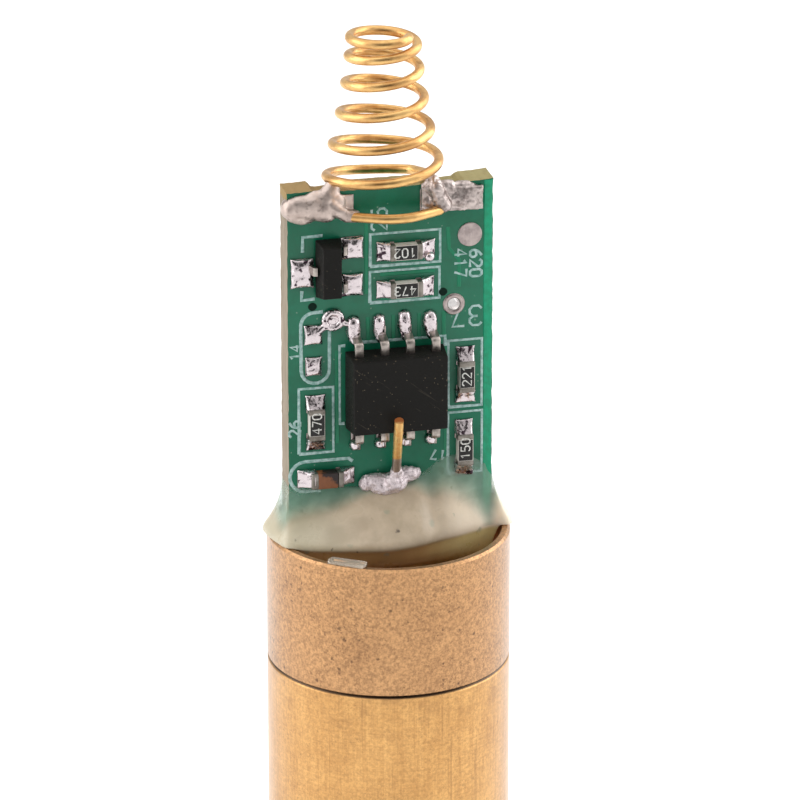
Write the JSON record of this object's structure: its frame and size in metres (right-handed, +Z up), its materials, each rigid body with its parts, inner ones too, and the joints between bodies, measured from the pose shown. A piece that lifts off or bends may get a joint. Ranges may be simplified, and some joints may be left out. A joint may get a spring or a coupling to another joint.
{
  "type": "laser diode module",
  "caption": "Round brass laser diode module with a driver board standing in its open end, a conical battery contact spring soldered to the board, and a collimating lens in front.",
  "frame": {"origin": "centre of the front (aperture) face, at the end of the brass barrel", "axes": "+Z up the barrel's axis to the contact spring, so the beam leaves along -Z; the board's component side faces -Y"},
  "size_m": [0.0124, 0.012, 0.0562],
  "materials": {
    "barrel_brass": "turned, satin, lightly tarnished",
    "housing_brass": "turned, dull with patina",
    "inner_brass": "turned, clean",
    "lens_glass": "clear, polished",
    "black_ring": "black anodised",
    "gilt_header": "gold plated",
    "can_steel": "drawn, plated",
    "window_glass": "clear",
    "laser_die": "bare die",
    "bead_glass": "dark sealing glass",
    "gilt_lead": "gold plated, tinned at the joint",
    "board_laminate": "green solder mask, raw glass-fibre edges",
    "land_tin": "tinned copper",
    "moulding_black": "moulded, dusty",
    "lead_tin": "tin plated",
    "resistor_black": "glazed ceramic",
    "end_tin": "tin plated",
    "capacitor_brown": "fired ceramic",
    "solder": "solder, smooth or grainy as set",
    "spring_gilt": "pale gilt plating",
    "glue_milky": "cured adhesive, milky",
    "glue_clear": "clear flake of adhesive"
  },
  "bodies": {
    "root": {"barrel": "barrel_brass", "diode_housing": "housing_brass", "lens_cell": "inner_brass", "lens": "lens_glass", "lens_retainer": "black_ring", "diode_header": "gilt_header", "diode_cap": "can_steel", "diode_window": "window_glass", "diode_chip": "laser_die", "diode_seals": "bead_glass", "diode_lead_front": "gilt_lead", "diode_leads_rear": "gilt_lead", "driver_board": "board_laminate", "copper_pads": "land_tin", "driver_ic_body": "moulding_black", "transistor_body": "moulding_black", "driver_ic_leads": "lead_tin", "transistor_leads": "lead_tin", "resistor_1_body": "resistor_black", "resistor_2_body": "resistor_black", "resistor_3_body": "resistor_black", "resistor_4_body": "resistor_black", "resistor_5_body": "resistor_black", "resistor_1_ends": "end_tin", "resistor_2_ends": "end_tin", "resistor_3_ends": "end_tin", "resistor_4_ends": "end_tin", "resistor_5_ends": "end_tin", "capacitor_ends": "end_tin", "capacitor_body": "capacitor_brown", "resistor_solder": "solder", "capacitor_solder": "solder", "ic_solder": "solder", "transistor_solder": "solder", "bare_pad_solder": "solder", "spring_solder_left": "solder", "spring_solder_right": "solder", "lead_solder_front": "solder", "lead_solder_rear": "solder", "contact_spring": "spring_gilt", "glue_fillet": "glue_milky", "glue_flake": "glue_clear"}
  },
  "joints": []
}
